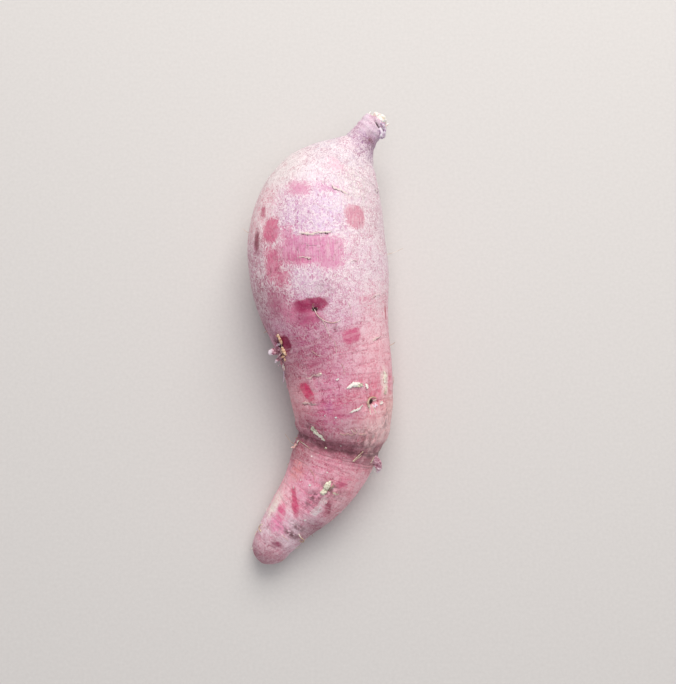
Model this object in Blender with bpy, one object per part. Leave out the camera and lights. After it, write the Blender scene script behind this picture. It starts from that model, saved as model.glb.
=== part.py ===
"""A red sweet potato, as dug and rubbed clean: one solid storage root.

The root lies on its side along Y, with the broken stem at +Y and the tail at -Y, and Z is up.
Seen from above it bends like a lazy S. A stout, deep body narrows towards a waist, a fold runs
across the root there, and a thinner tail turns off to the left and tapers to a blunt tip.
It rests on a small flat spot under the body. The origin is on the table, at the middle of the
root's length and width.
"""

import math
from collections import namedtuple

import bmesh
import bpy
from mathutils import Matrix, Vector

MM = 0.001

# Driving dimensions, in metres.
BODY_HALF_WIDTH = 30.3 * MM
BODY_TOP = 53.5 * MM
FLAT_DEPTH = 1.7 * MM  # how much of the round underside the flat spot takes away
STEM_RADIUS = 5.6 * MM
STEM_HEIGHT = 31.0 * MM  # of the stem's axis above the table

# How finely the skin is made, and the angle past which an edge is a corner.
SIDES = 28
RINGS_PER_GAP = 2
CORNER_ANGLE = math.radians(50)

SKIN_COLOUR = (0.78, 0.50, 0.58, 1.0)
SKIN_ROUGHNESS = 0.7

# The root is a row of upright cross sections. Each is an oval, given in millimetres by its centre
# in plan, half its width, and its highest and lowest point. They run from the stem to the tail.
Section = namedtuple("Section", "x y half_width top bottom")

STEM_R, STEM_Z = STEM_RADIUS / MM, STEM_HEIGHT / MM
WIDE, HIGH, LOW = BODY_HALF_WIDTH / MM, BODY_TOP / MM, -FLAT_DEPTH / MM

SECTIONS = (
    # The stem, broken off where it was pulled from the vine, bends to the right.
    Section(24.5, 94.6, STEM_R - 0.2, STEM_Z + 5.3, STEM_Z - 5.3),
    Section(22.1, 91.4, STEM_R, STEM_Z + 5.6, STEM_Z - 5.6),
    Section(19.5, 87.9, STEM_R + 0.3, STEM_Z + 5.8, STEM_Z - 6.0),
    # The shoulder opens quickly into the body.
    Section(16.9, 84.0, 7.4, 38.0, 22.6),
    Section(13.9, 79.8, 11.8, 41.5, 17.5),
    Section(10.2, 74.2, 18.1, 45.5, 11.5),
    Section(5.4, 66.2, 24.4, 49.6, 5.4),
    # The body is widest and deepest over the flat spot.
    Section(1.0, 56.0, 28.0, 52.4, 0.8),
    Section(-1.2, 43.4, WIDE - 0.5, HIGH, LOW),
    Section(-0.6, 30.8, WIDE, HIGH - 0.6, LOW),
    Section(1.1, 18.6, 28.9, HIGH - 2.4, LOW),
    Section(3.8, 5.7, 26.0, HIGH - 5.0, LOW + 0.3),
    Section(6.6, -6.3, 24.0, HIGH - 7.2, LOW + 1.3),
    Section(8.5, -18.0, 22.8, 44.4, 0.6),
    # The body ends in a round brow, which drops into the fold at the waist.
    Section(9.5, -28.2, 21.6, 42.2, 1.2),
    Section(9.2, -36.4, 20.4, 39.4, 1.5),
    Section(7.8, -42.6, 18.7, 35.6, 2.2),
    Section(6.5, -47.0, 18.0, 31.8, 2.2),
    # The tail swells a little past the fold, and then tapers.
    Section(4.4, -51.8, 17.6, 32.3, 1.4),
    Section(1.1, -59.0, 16.2, 31.0, 0.6),
    Section(-3.3, -65.8, 14.5, 28.0, 0.2),
    Section(-8.1, -71.5, 12.8, 24.8, 0.0),
    Section(-12.9, -77.0, 11.2, 22.2, 0.0),
    Section(-17.3, -82.8, 9.7, 19.8, 0.0),
    Section(-21.1, -88.0, 8.4, 17.6, 0.4),
)
# The blunt tip is a dome on the last section: how far it reaches past it, the way it points in
# plan, and how far its end hangs down.
TIP_REACH = 9.3
TIP_HEADING = Vector((-0.48, -0.88)).normalized()
TIP_DROOP = 1.2
TIP_RINGS = 4

# The skin has broad, low ribs that wind slowly round the root, as the rows of eyes do: how many
# there are, their height as a share of the radius, where they start, and their turn in each mm.
Rib = namedtuple("Rib", "count height start twist")
RIBS = (Rib(3, 0.012, 0.7, 0.012), Rib(5, 0.007, -0.4, -0.020))

# The stem's end is torn across, and its pale core stands a little proud of the skin.
CORE_INSET = 1.4
CORE_RISE = 0.8

# Shallow dents around the larger eyes: x, y in plan, radius and depth, in millimetres.
Dent = namedtuple("Dent", "x y radius depth")
UPPER_DENTS = (
    Dent(-2.0, 10.0, 10.0, 1.0),
    Dent(-17.0, -2.0, 9.0, 1.2),
    Dent(21.5, -27.0, 8.5, 1.3),
    Dent(-1.5, 41.0, 10.0, 0.5),
    Dent(-2.0, -16.5, 7.5, 0.6),
)


def hermite(knots, values, at):
    """The smooth curve through values at knots, read at one place. Its slope at a knot is that of
    the chord between the knots on either side."""

    def slope(i):
        before, after = max(i - 1, 0), min(i + 1, len(knots) - 1)
        return (values[after] - values[before]) / (knots[after] - knots[before])

    i = max(k for k in range(len(knots) - 1) if knots[k] <= at or k == 0)
    span = knots[i + 1] - knots[i]
    t = (at - knots[i]) / span
    return (
        values[i] * (1 + 2 * t) * (1 - t) ** 2
        + values[i + 1] * t * t * (3 - 2 * t)
        + slope(i) * span * t * (1 - t) ** 2
        - slope(i + 1) * span * t * t * (1 - t)
    )


def distances_along(sections):
    """How far along the centreline, in plan, each section is."""
    found = [0.0]
    for here, ahead in zip(sections, sections[1:]):
        found.append(found[-1] + math.hypot(ahead.x - here.x, ahead.y - here.y))
    return found


def sections_between(sections, per_gap):
    """The sections with others between them, on smooth curves through all five measures."""
    knots = distances_along(sections)
    places = [
        start + (end - start) * k / per_gap
        for start, end in zip(knots, knots[1:])
        for k in range(per_gap)
    ]
    places.append(knots[-1])
    measures = list(zip(*sections))
    return [Section(*(hermite(knots, m, at) for m in measures)) for at in places]


def dome_sections(last):
    """Sections that follow the last one in a quarter of an ellipse and all but close the tail."""
    half_height = (last.top - last.bottom) / 2
    found = []
    for k in range(1, TIP_RINGS + 1):
        angle = k / (TIP_RINGS + 1) * math.pi / 2
        gone, left = math.sin(angle), math.cos(angle)
        x = last.x + TIP_HEADING.x * TIP_REACH * gone
        y = last.y + TIP_HEADING.y * TIP_REACH * gone
        middle = last.top - half_height - TIP_DROOP * gone
        top, bottom = middle + half_height * left, middle - half_height * left
        found.append(Section(x, y, last.half_width * left, top, bottom))
    return found


def placing(sections, i):
    """The matrix that carries a unit circle in the XY plane to section i's upright oval. The oval
    faces along a chord as long as two gaps, so that neighbours never cross inside a bend."""
    here = sections[i]
    before = sections[max(i - RINGS_PER_GAP, 0)]
    after = sections[min(i + RINGS_PER_GAP, len(sections) - 1)]
    along = Vector((after.x - before.x, after.y - before.y, 0)).normalized()
    side = along.cross(Vector((0, 0, 1)))
    half_height = (here.top - here.bottom) / 2
    turn = Matrix((side, Vector((0, 0, 1)), along)).transposed().to_4x4()
    size = Matrix.Diagonal((here.half_width * MM, half_height * MM, MM, 1))
    centre = Vector((here.x, here.y, (here.top + here.bottom) / 2)) * MM
    return Matrix.Translation(centre) @ turn @ size


def make_skin():
    """The closed skin, drawn out ring by ring from the stem to the tail."""
    sections = sections_between(SECTIONS, RINGS_PER_GAP)
    sections += dome_sections(sections[-1])
    places = [placing(sections, i) for i in range(len(sections))]
    bm = bmesh.new()
    bmesh.ops.create_circle(bm, cap_ends=False, radius=1, segments=SIDES, matrix=places[0])
    rings = [list(bm.verts)]
    stem_end = edges = list(bm.edges)
    for here, ahead in zip(places, places[1:]):
        grown = bmesh.ops.extrude_edge_only(bm, edges=edges)["geom"]
        ring = {g for g in grown if isinstance(g, bmesh.types.BMVert)}
        bmesh.ops.transform(bm, matrix=ahead @ here.inverted(), verts=list(ring))
        edges = [g for g in grown if isinstance(g, bmesh.types.BMEdge) and ring.issuperset(g.verts)]
        rings.append(ring)
    for ring, place, along in zip(rings, places, distances_along(sections)):
        raise_ribs(ring, place, along)
    close_tail(bm, edges)
    close_stem(bm, stem_end)
    bmesh.ops.recalc_face_normals(bm, faces=bm.faces)
    return bm


def raise_ribs(ring, place, along):
    """Moves the points of one ring out to the ribs, or in to the furrows between them."""
    for vert in ring:
        on_circle = place.inverted() @ vert.co
        angle = math.atan2(on_circle.y, on_circle.x)
        turns = (rib.count * angle + rib.start + rib.twist * along for rib in RIBS)
        height = sum(rib.height * math.cos(turn) for rib, turn in zip(RIBS, turns))
        vert.co = place @ (on_circle * (1 + height))


def close_tail(bm, edges):
    """Fills the small ring at the tip with a low cone, up to the dome's full reach."""
    face = bmesh.ops.contextual_create(bm, geom=edges)["faces"]
    bmesh.ops.recalc_face_normals(bm, faces=bm.faces)
    short = TIP_REACH * (1 - math.sin(TIP_RINGS / (TIP_RINGS + 1) * math.pi / 2))
    bmesh.ops.poke(bm, faces=face, offset=short * MM)


def close_stem(bm, edges):
    """Fills the stem's end and raises its core."""
    face = bmesh.ops.contextual_create(bm, geom=edges)["faces"]
    bmesh.ops.recalc_face_normals(bm, faces=bm.faces)
    bmesh.ops.inset_region(bm, faces=face, thickness=CORE_INSET * MM, depth=CORE_RISE * MM)
    bmesh.ops.poke(bm, faces=face, offset=CORE_RISE * MM)


def press_dents(bm):
    """Presses the upper skin in around the larger eyes, with an edge that fades out."""
    bm.normal_update()
    for dent in UPPER_DENTS:
        for vert in bm.verts:
            if vert.normal.z < 0:
                continue
            off = math.hypot(vert.co.x / MM - dent.x, vert.co.y / MM - dent.y)
            if off < dent.radius:
                fade = 0.5 + 0.5 * math.cos(math.pi * off / dent.radius)
                vert.co -= vert.normal * dent.depth * MM * fade


def flatten_resting_spot(bm):
    """Brings what would lie under the table up to it."""
    for vert in bm.verts:
        vert.co.z = max(vert.co.z, 0.0)


def centre_in_plan(bm):
    """Puts the origin at the middle of the root's length and width."""
    low = Vector(map(min, zip(*(v.co for v in bm.verts))))
    high = Vector(map(max, zip(*(v.co for v in bm.verts))))
    middle = (low + high) / 2
    bmesh.ops.translate(bm, vec=(-middle.x, -middle.y, 0), verts=bm.verts)


def skin_material():
    material = bpy.data.materials.new("sweet_potato_skin")
    material.use_nodes = True
    shader = material.node_tree.nodes["Principled BSDF"]
    shader.inputs["Base Color"].default_value = SKIN_COLOUR
    shader.inputs["Roughness"].default_value = SKIN_ROUGHNESS
    shader.inputs["Metallic"].default_value = 0.0
    material.diffuse_color = SKIN_COLOUR
    return material


def make_sweet_potato():
    bm = make_skin()
    press_dents(bm)
    flatten_resting_spot(bm)
    centre_in_plan(bm)
    mesh = bpy.data.meshes.new("sweet_potato")
    bm.to_mesh(mesh)
    bm.free()
    mesh.shade_smooth()
    mesh.set_sharp_from_angle(angle=CORNER_ANGLE)
    mesh.materials.append(skin_material())
    root = bpy.data.objects.new("sweet_potato", mesh)
    bpy.context.scene.collection.objects.link(root)


for old in list(bpy.data.objects):
    bpy.data.objects.remove(old)
make_sweet_potato()
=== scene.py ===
"""A red sweet potato on a pale table: the looks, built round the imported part."""

import math
import random

import bmesh
import bpy
import numpy as np
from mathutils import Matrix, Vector, noise
from mathutils.bvhtree import BVHTree


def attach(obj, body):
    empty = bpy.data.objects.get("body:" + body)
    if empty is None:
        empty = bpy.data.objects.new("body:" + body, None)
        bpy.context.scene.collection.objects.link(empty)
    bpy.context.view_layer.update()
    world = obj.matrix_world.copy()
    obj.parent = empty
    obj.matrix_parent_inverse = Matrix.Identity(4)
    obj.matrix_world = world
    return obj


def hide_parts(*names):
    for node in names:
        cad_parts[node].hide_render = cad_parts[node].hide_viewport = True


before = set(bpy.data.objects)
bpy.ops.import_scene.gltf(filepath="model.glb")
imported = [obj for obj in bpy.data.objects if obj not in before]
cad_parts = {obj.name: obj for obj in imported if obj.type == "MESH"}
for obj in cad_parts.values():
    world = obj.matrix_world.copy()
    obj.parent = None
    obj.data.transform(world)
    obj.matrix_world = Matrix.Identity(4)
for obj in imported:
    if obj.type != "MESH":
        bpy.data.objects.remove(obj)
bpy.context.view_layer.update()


# ==== The root's body =============================================================================
# One swollen storage root, grown as a single piece: solid starchy flesh under a thin skin. It is
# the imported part's own shape, rounded and then given the lumps, ribs, folds and scars of a root.

MM = 0.001
BODY_ROUNDS = 3
ROUNDING_LOSS = 0.008  # the share of its radius that rounding takes off
SPINE_SLICES = 44
TABLE_GAP = 0.02  # mm that the lowest skin stays above the table

cad_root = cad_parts["sweet_potato"]
bm = bmesh.new()
bm.from_mesh(cad_root.data)
bmesh.ops.remove_doubles(bm, verts=bm.verts, dist=0.01 * MM)
bm.faces.ensure_lookup_table()


def is_diagonal(edge):
    """True for the edge that splits one of the root's four-sided patches into two triangles: the
    longest of both. A fan round a pole has none."""
    if len(edge.link_faces) != 2 or any(len(v.link_edges) > 8 for v in edge.verts):
        return False
    longest = [max(f.edges, key=lambda e: e.calc_length()) for f in edge.link_faces]
    return longest[0] is edge and longest[1] is edge


bmesh.ops.dissolve_edges(bm, edges=[e for e in bm.edges if is_diagonal(e)], use_verts=False)


def to_mesh(bm, name):
    """Ends a bmesh as a mesh."""
    mesh = bpy.data.meshes.new(name)
    bm.to_mesh(mesh)
    bm.free()
    return mesh


def new_object(name, data):
    """Puts an object for this mesh, curve, light or camera in the scene, at the origin."""
    made = bpy.data.objects.new(name, data)
    bpy.context.scene.collection.objects.link(made)
    return made


def baked(holder, name):
    """The mesh that an object's modifiers or its curve make. The object itself is removed."""
    shaped = holder.evaluated_get(bpy.context.evaluated_depsgraph_get())
    mesh = bpy.data.meshes.new_from_object(shaped)
    bpy.data.objects.remove(holder)
    mesh.name = name
    return mesh


rough = new_object("root_rough", to_mesh(bm, "root_rough"))
rounding = rough.modifiers.new("rounding", "SUBSURF")
rounding.levels = rounding.render_levels = BODY_ROUNDS
skin_mesh = baked(rough, "root_skin")


def numbers_of(mesh, what="co"):
    """Every vertex's place, or its normal, as rows of an array."""
    found = np.zeros(len(mesh.vertices) * 3)
    mesh.vertices.foreach_get(what, found)
    return found.reshape(-1, 3)


def noise_at(places, size, seed):
    """Smooth noise of about -1 to 1 at each place, in lumps of about this size. All in mm."""
    shift = Vector((17.3, -9.1, 5.7)) * seed
    return np.array([noise.noise(Vector(place) / size + shift) for place in places])


# The spine runs through the middle of the root. Straightened, the root has a side, a length and a
# height for each point of its skin, so that growth lines and wrinkles can follow its bend.
points = numbers_of(skin_mesh) / MM
spine = []
for y in np.linspace(points[:, 1].min() + 2, points[:, 1].max() - 2, SPINE_SLICES):
    slice_points = points[abs(points[:, 1] - y) < 1.5]
    spine.append((slice_points.min(0) + slice_points.max(0)) / 2)
spine = np.array(spine)
for _ in range(3):
    spine[1:-1] = (spine[:-2] + 2 * spine[1:-1] + spine[2:]) / 4
spine = np.vstack([2 * spine[0] - spine[1], spine, 2 * spine[-1] - spine[-2]])
legs = np.diff(spine, axis=0)
leg_starts = np.concatenate([[0], np.cumsum(np.linalg.norm(legs, axis=1))])
headings = np.gradient(spine, axis=0)
headings[:, 2] = 0
headings /= np.linalg.norm(headings, axis=1)[:, None]

nearest = np.full(len(points), np.inf)
straight = np.zeros_like(points)
for i, leg in enumerate(legs):
    share = np.clip((points - spine[i]) @ leg / (leg @ leg), 0, 1)
    offset = points - (spine[i] + share[:, None] * leg)
    gap = np.linalg.norm(offset, axis=1)
    heading = headings[i] + share[:, None] * (headings[i + 1] - headings[i])
    side = offset[:, 0] * heading[:, 1] - offset[:, 1] * heading[:, 0]
    length = leg_starts[i] + share * (leg_starts[i + 1] - leg_starts[i])
    closer = gap < nearest
    nearest = np.where(closer, gap, nearest)
    straight[closer] = np.stack([side, length, offset[:, 2]], axis=1)[closer]
length_along = straight[:, 1]
angle_round = np.arctan2(straight[:, 0], straight[:, 2])  # 0 on the crest, positive to the right
radius_at = np.hypot(straight[:, 0], straight[:, 2])


def surface_now():
    """The skin as it now is, in mm, for finding places on it."""
    corners = [tuple(face.vertices) for face in skin_mesh.polygons]
    return BVHTree.FromPolygons([Vector(point) for point in points], corners)


def skin_under(x, y, below=False):
    """Where a plumb line through x, y in plan meets the top of the skin, or its underside."""
    start, way = (-20, 1) if below else (90, -1)
    place, normal, _, _ = skin_tree.ray_cast(Vector((x, y, start)), Vector((0, 0, way)))
    if place is None:
        place, normal, _, _ = skin_tree.find_nearest(Vector((x, y, 20)))
    return place, normal


def half_turn(angle):
    """The same angle between minus and plus half a turn, in radians."""
    return (angle + math.pi) % (2 * math.pi) - math.pi


def from_mark(x, y, turn=0.0, below=False):
    """Each skin point's place seen from a mark: mm to the right round the root and mm towards the
    stem, both along the skin, after the mark is turned to the left by some degrees."""
    place, _ = skin_under(x, y, below)
    spot = int(np.argmin(((points - np.array(place)) ** 2).sum(1)))
    swing = half_turn(angle_round - angle_round[spot])
    across = swing * (radius_at + radius_at[spot]) / 2
    ahead = length_along - length_along[spot]
    c, s = math.cos(math.radians(turn)), math.sin(math.radians(turn))
    return across * c + ahead * s, ahead * c - across * s


def hump(distance):
    """1 at the middle of a mark, falling smoothly to nothing past its edge."""
    return np.exp(-(distance**2))


skin_tree = surface_now()

# Growth: broad lumps, low ribs along the root, and fine unevenness, in mm.
raised = ROUNDING_LOSS * radius_at
raised += 0.45 * noise_at(points, 21, 1) + 0.22 * noise_at(points, 9, 2)
raised += 0.16 * noise_at(straight * (1, 0.16, 1), 4.5, 3)
raised += 0.06 * noise_at(points, 3.0, 4) + 0.035 * noise_at(points, 1.6, 5)
body_end = from_mark(9, -48)[1]  # mm from the fold towards the stem
stem_start = from_mark(19, 86)[1]
tail_share = np.clip(-body_end / 12, 0, 1)
stem_share = np.clip((stem_start + 6) / 8, 0, 1)
raised += tail_share * 0.28 * noise_at(straight * (1, 0.22, 1), 5.0, 6)
raised += tail_share * 0.14 * noise_at(points, 2.6, 7)

# The fold at the waist: one deep crease that wanders, and finer ones beside it.
fold = body_end - 1.1 * noise_at(points, 12, 8)
for shift, depth, width in ((0.0, 0.6, 2.0), (-3.4, 0.3, 0.6), (2.6, 0.25, 0.7), (-5.6, 0.16, 0.5)):
    raised -= depth * hump((fold - shift) / width)
raised += 0.5 * hump((fold - 5.5) / 2.5)

# The stem's wrinkled base, and the ridge that runs down from it over the right shoulder.
wrinkles = np.sin(stem_start * 2.3 + 2.5 * noise_at(points, 5, 9))
raised += stem_share * (0.13 * wrinkles + 0.18 * noise_at(straight * (1, 0.3, 1), 2.6, 10))
raised -= 0.5 * hump((stem_start + 5.5 - 0.8 * noise_at(points, 6, 11)) / 0.8)
ridge_side, ridge_ahead = from_mark(17.5, 60, turn=-4)
raised += 0.4 * hump(ridge_side / 1.6) * hump(ridge_ahead / 15)
raised += 0.25 * hump((ridge_side + 5) / 1.3) * hump((ridge_ahead - 4) / 12)

# Eyes and scars, where side roots were: x, y in plan, turn in degrees, half length round the root,
# height of the corky lip, depth of the pit, and whether it is on the underside.
eyes = (
    (8.6, 59.0, -22, 4.4, 0.35, 0.20, False),
    (-1.6, 40.9, 2, 7.2, 0.50, 0.20, False),
    (-6.0, 30.9, -4, 2.8, 0.36, 0.45, False),
    (-1.9, 9.8, 0, 1.6, 0.25, 1.40, False),
    (23.6, -0.9, 8, 3.2, 0.25, 0.05, False),
    (23.2, 16.6, 6, 3.4, 0.22, 0.05, False),
    (23.9, 62.4, 0, 2.4, 0.30, 0.25, False),
    (-2.6, -16.7, 8, 4.2, 0.25, 0.50, False),
    (-4.1, -28.0, -3, 4.0, 0.28, 0.30, False),
    (21.5, -27.1, 12, 3.0, 0.35, 1.70, False),
    (14.0, 30.0, 4, 2.0, 0.16, 0.00, False),
    (3.1, -63.7, 0, 2.2, 0.25, 0.60, False),
    (-9.5, 51.0, 3, 4.5, 0.25, 0.35, True),
    (12.0, 33.0, -5, 3.4, 0.30, 0.60, True),
    (-12.5, 20.0, 6, 3.0, 0.30, 0.90, True),
    (15.5, 4.0, 0, 4.0, 0.25, 0.30, True),
    (0.5, -14.0, 5, 3.0, 0.30, 0.80, True),
    (12.0, -33.0, -4, 3.6, 0.25, 0.40, True),
    (-6.0, -62.0, 0, 2.6, 0.22, 0.60, True),
    (-16.0, -80.0, 8, 2.0, 0.20, 0.50, True),
)
LONG_SCAR_BOW, SCAR_BOW = 0.014, 0.0056  # mm that an eye's line bends at 1 mm from its middle
nearest_scar = np.full(len(points), np.inf)
scar = np.zeros_like(points)  # mm across and ahead of the nearest eye, and its half length
scar_show = np.zeros(len(points))
hollow = np.zeros(len(points))
for x, y, turn, half_length, lip, pit, below in eyes:
    across, ahead = from_mark(x, y, turn, below)
    ahead = ahead - across**2 * (LONG_SCAR_BOW if half_length > 5 else SCAR_BOW)
    reach = hump((across / half_length) ** 2)
    raised += lip * reach * (hump(ahead / 0.6) - 0.7 * hump((ahead + 1.1) / 0.6))
    wide = 0.75 + 0.45 * pit
    raised -= pit * hump(np.hypot(across / 1.3, ahead + 0.3) / wide)
    creases = np.cos(7 * np.arctan2(ahead, across) + x) * hump(np.hypot(across, ahead) / 4.5 - 0.5)
    raised -= 0.18 * min(pit, 1) * creases
    apart = np.hypot(across / half_length, ahead / 2)
    closer = apart < nearest_scar
    nearest_scar = np.where(closer, apart, nearest_scar)
    scar[closer] = np.stack([across, ahead, np.full(len(points), half_length)], axis=1)[closer]
    scar_show[closer] = min(lip / 0.45, 1)
    # The pit's deepest part, which the skin darkens as painted shade.
    deepest = hump(np.hypot(across / 1.2, ahead + 0.3) / (0.75 * wide)) * min(pit, 1)
    hollow = np.maximum(hollow, deepest)

# The torn hollow in the left flank, where a side root was pulled away with some skin.
across, ahead = from_mark(-16.5, -5, turn=-24)
torn_hole = hump(np.hypot(across / 2.4, ahead / 6.5) + 0.25 * noise_at(points, 2.2, 12))
raised -= 1.0 * torn_hole
raised += 0.35 * hump((np.hypot(across / 2.4, ahead / 6.5) - 1.4) / 0.35)

# The broken end of the stem: a sunken, uneven face inside a ragged rim of skin.
STEM_END = np.array((24.6, 94.7, 31.0))
STEM_WAY = np.array((0.6, 0.8, 0.0))
past_end = (points - STEM_END) @ STEM_WAY
from_axis = np.linalg.norm(points - STEM_END - past_end[:, None] * STEM_WAY, axis=1)
near_end = (points[:, 1] > 84) * np.clip((past_end + 1.2) / 1.2, 0, 1)
broken = near_end * np.clip((5.2 - from_axis + 0.6 * noise_at(points, 1.6, 15)) / 0.8, 0, 1)
raised += near_end * (0.4 * noise_at(points, 1.9, 13) + 0.3 * noise_at(points, 4, 14))
raised -= broken * 1.1
across, ahead = from_mark(24.4, 91.2, turn=-9)
crack = hump((across - 0.5) / 3.0) * hump((ahead + 0.5 * noise_at(points, 1.8, 16)) / 0.6)
raised -= 0.9 * crack

normals = numbers_of(skin_mesh, "normal")
points += normals * raised[:, None]
points[:, 2] = np.maximum(points[:, 2], TABLE_GAP)
skin_mesh.vertices.foreach_set("co", (points * MM).ravel())
skin_mesh.update()
skin_mesh.shade_smooth()
skin_tree = surface_now()
skin = new_object("root_skin", skin_mesh)
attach(skin, "root")
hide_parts("sweet_potato")


# ==== The skin's colours ==========================================================================
# The skin is a thin cork layer, stained rose by its sap. A pale dusty bloom lies over it, thick and
# cream on the shoulder, thin towards the tail, and rubbed off in patches where the rose shows.


def linear(hex_colour):
    """An sRGB hex colour as linear red, green and blue."""
    parts = [int(hex_colour[i : i + 2], 16) / 255 for i in (0, 2, 4)]
    return [p / 12.92 if p <= 0.04045 else ((p + 0.055) / 1.055) ** 2.4 for p in parts]


def store(mesh, name, values):
    """Keeps a number, a direction or a colour at each vertex, for materials to read."""
    kinds = {1: ("FLOAT", "value"), 3: ("FLOAT_VECTOR", "vector"), 4: ("FLOAT_COLOR", "color")}
    kind, word = kinds[values.size // len(mesh.vertices)]
    kept = mesh.attributes.new(name, kind, "POINT")
    kept.data.foreach_set(word, values.astype(np.float32).ravel())


# The bloom's colour over the root: x, y in plan, how far it reaches in mm, colour. Some zones by
# the fold and at the tail also hold painted shade.
bloom_places = (
    (23, 93, 7, "e0c8dc"),
    (18, 82, 6, "8c468a"),
    (13, 81, 4, "dcbccf"),
    (6, 74, 12, "d0c5d3"),
    (-14, 72, 9, "e2d8d8"),
    (-3, 65, 6, "eee0ee"),
    (-26, 52, 9, "f2c2cc"),
    (-8, 52, 8, "d8b0d4"),
    (3, 52, 8, "e6ccec"),
    (-10, 48, 7, "d09cc8"),
    (18, 60, 10, "e3c8d6"),
    (26, 44, 9, "e0c4d1"),
    (-22, 30, 9, "cf86a4"),
    (-5, 22, 6, "deb6d4"),
    (-3, 26, 7, "dcaecc"),
    (17, 28, 10, "eac9dc"),
    (8, 14, 9, "d8a8c2"),
    (26, 14, 9, "efbcc9"),
    (-24, 14, 7, "b4708a"),
    (-14, 9, 8, "ca7ca0"),
    (-2, -5, 8, "b85a84"),
    (12, -10, 8, "d69ab0"),
    (24, -10, 9, "f0b4c0"),
    (-7, -14, 7, "ba7086"),
    (5, -21, 8, "d0749a"),
    (-9, -27, 7, "f0a8b4"),
    (25, -24, 9, "e888a2"),
    (4, -33, 6, "d6588e"),
    (-4, -38, 6, "be6480"),
    (10, -40, 6, "cf94a4"),
    (15, -31, 7, "dc90a4"),
    (25, -38, 8, "ffd6d4"),
    (31, -28, 5, "f8d8c8"),
    # These two zones by the fold are darker partly as painted shade.
    (8, -47, 7, "be687e"),
    (-5, -50, 5, "ae5e6c"),
    (0, -56, 8, "e294ac"),
    (-4, -65, 8, "ffa2c4"),
    (-17, -66, 7, "ffc4ce"),
    (8, -66, 7, "fcbac6"),
    (9, -74, 6, "e0a8b2"),
    (-15, -84, 11, "ffe0ee"),
    # These two zones, at the tail's lower right and its end, are darker partly as painted shade and
    # partly as soil.
    (-4, -84, 6, "8e3450"),
    (-22, -92, 7, "a85c70"),
)
bloomed = np.zeros((len(points), 4))
for x, y, reach, colour in bloom_places:
    near = hump(np.hypot(points[:, 0] - x, points[:, 1] - y) / reach) + 1e-7
    bloomed += near[:, None] * np.array(linear(colour) + [1.0])
bloomed /= bloomed[:, 3:].copy()

# Where the bloom is rubbed off: x, y in plan, half size round the root and along it, turn, how
# gradual the edge is in mm, colour.
rubbed_patches = (
    (6.9, 69.8, 4.5, 3.5, 0, 3.0, "eebdd0"),
    (-8.6, 60.3, 6.4, 3.6, -4, 1.6, "de98b6"),
    (3.2, 59.9, 6.2, 2.3, -4, 2.0, "d890be"),
    (15.0, 48.8, 5.1, 6.0, 10, 0.8, "d88ca0"),
    (-23.6, 52.4, 1.6, 3.0, 20, 0.8, "c0607a"),
    (-20.0, 43.4, 4.8, 5.4, 0, 1.0, "d86a8c"),
    (-13.6, 40.0, 4.0, 4.0, 0, 2.4, "dc84a8"),
    (-26.6, 39.0, 1.9, 4.8, 4, 1.3, "843e4c"),
    (-3.6, 34.4, 15.8, 6.6, -2, 1.4, "dc86b0"),
    (-9.4, 30.8, 7.0, 3.0, 0, 1.4, "cc5c88"),
    (4.8, 30.6, 6.6, 5.0, 0, 1.4, "dc88b0"),
    (-19.4, 29.2, 5.0, 7.0, 0, 1.8, "da7092"),
    (-16.0, 24.0, 4.0, 5.0, 0, 2.6, "d0688a"),
    (-4.2, 11.6, 7.8, 2.9, 2, 0.7, "9a0a4a"),
    (-4.6, 6.2, 6.8, 3.2, 0, 1.8, "bc5880"),
    (-12.4, 8.6, 4.6, 4.4, 4, 2.6, "de86a6"),
    (-18.5, 13.0, 5.0, 5.0, 0, 3.4, "bc6c88"),
    (19.5, 15.4, 4.0, 1.6, 4, 1.6, "dc8fa6"),
    (13.5, -0.6, 4.1, 3.1, 6, 0.8, "cc5880"),
    (-14.2, -3.4, 3.6, 3.6, 0, 0.7, "84083a"),
    (-5.1, -23.4, 2.4, 4.4, 28, 0.5, "d62e66"),
    (28.0, 11.0, 1.0, 3.6, 0, 0.5, "bf5262"),
    (23.6, -24.0, 3.0, 2.6, 0, 2.0, "de7890"),
    (27.6, -19.2, 2.5, 4.8, 4, 1.2, "f8e8de"),
    (4.0, -30.1, 2.0, 2.8, 10, 2.0, "c86a98"),
    (-2.1, -12.9, 3.8, 2.0, 0, 2.0, "b8607e"),
    (10.0, -32.5, 7.0, 3.0, 0, 3.0, "c8698c"),
    (-10.9, -69.4, 1.2, 7.0, 36, 0.5, "d03468"),
    (-10.4, -71.2, 1.7, 3.8, 36, 0.6, "d63c70"),
    (-16.7, -74.4, 2.3, 4.4, 22, 0.8, "e04a84"),
    (9.6, -61.9, 3.0, 3.0, 0, 1.4, "de6a8e"),
    (-18.2, -79.4, 4.6, 3.6, 0, 2.6, "f088b4"),
    (-19.1, -87.9, 2.2, 1.3, 30, 0.9, "94405e"),
    (-9.8, -56.0, 4.0, 4.6, 0, 3.0, "ee9498"),
    (3.5, -72.0, 3.6, 1.4, -44, 1.2, "9c3c56"),
    (1.3, -69.1, 1.5, 2.2, 0, 0.8, "fcf4f2"),
    (-1.6, -73.2, 1.8, 2.6, 0, 0.8, "f8ecee"),
    (-20.0, -71.4, 3.0, 6.0, 0, 1.6, "fff4ea"),
)
SQUARENESS = 2.8  # 2 would be an ellipse
WORN_BRIGHTNESS = 0.36  # a patch whose colour is darker than this is worn down to the cork
WORN_SPREAD = 0.14  # how much darker it is when no dust is left
rubbed = np.full(len(points), -3.0)  # how far inside a patch, counted in widths of its edge
rubbed_colour = np.zeros((len(points), 4))
bare = np.zeros(len(points))  # 1 where a patch is worn so dark that no dust is left on it


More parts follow.
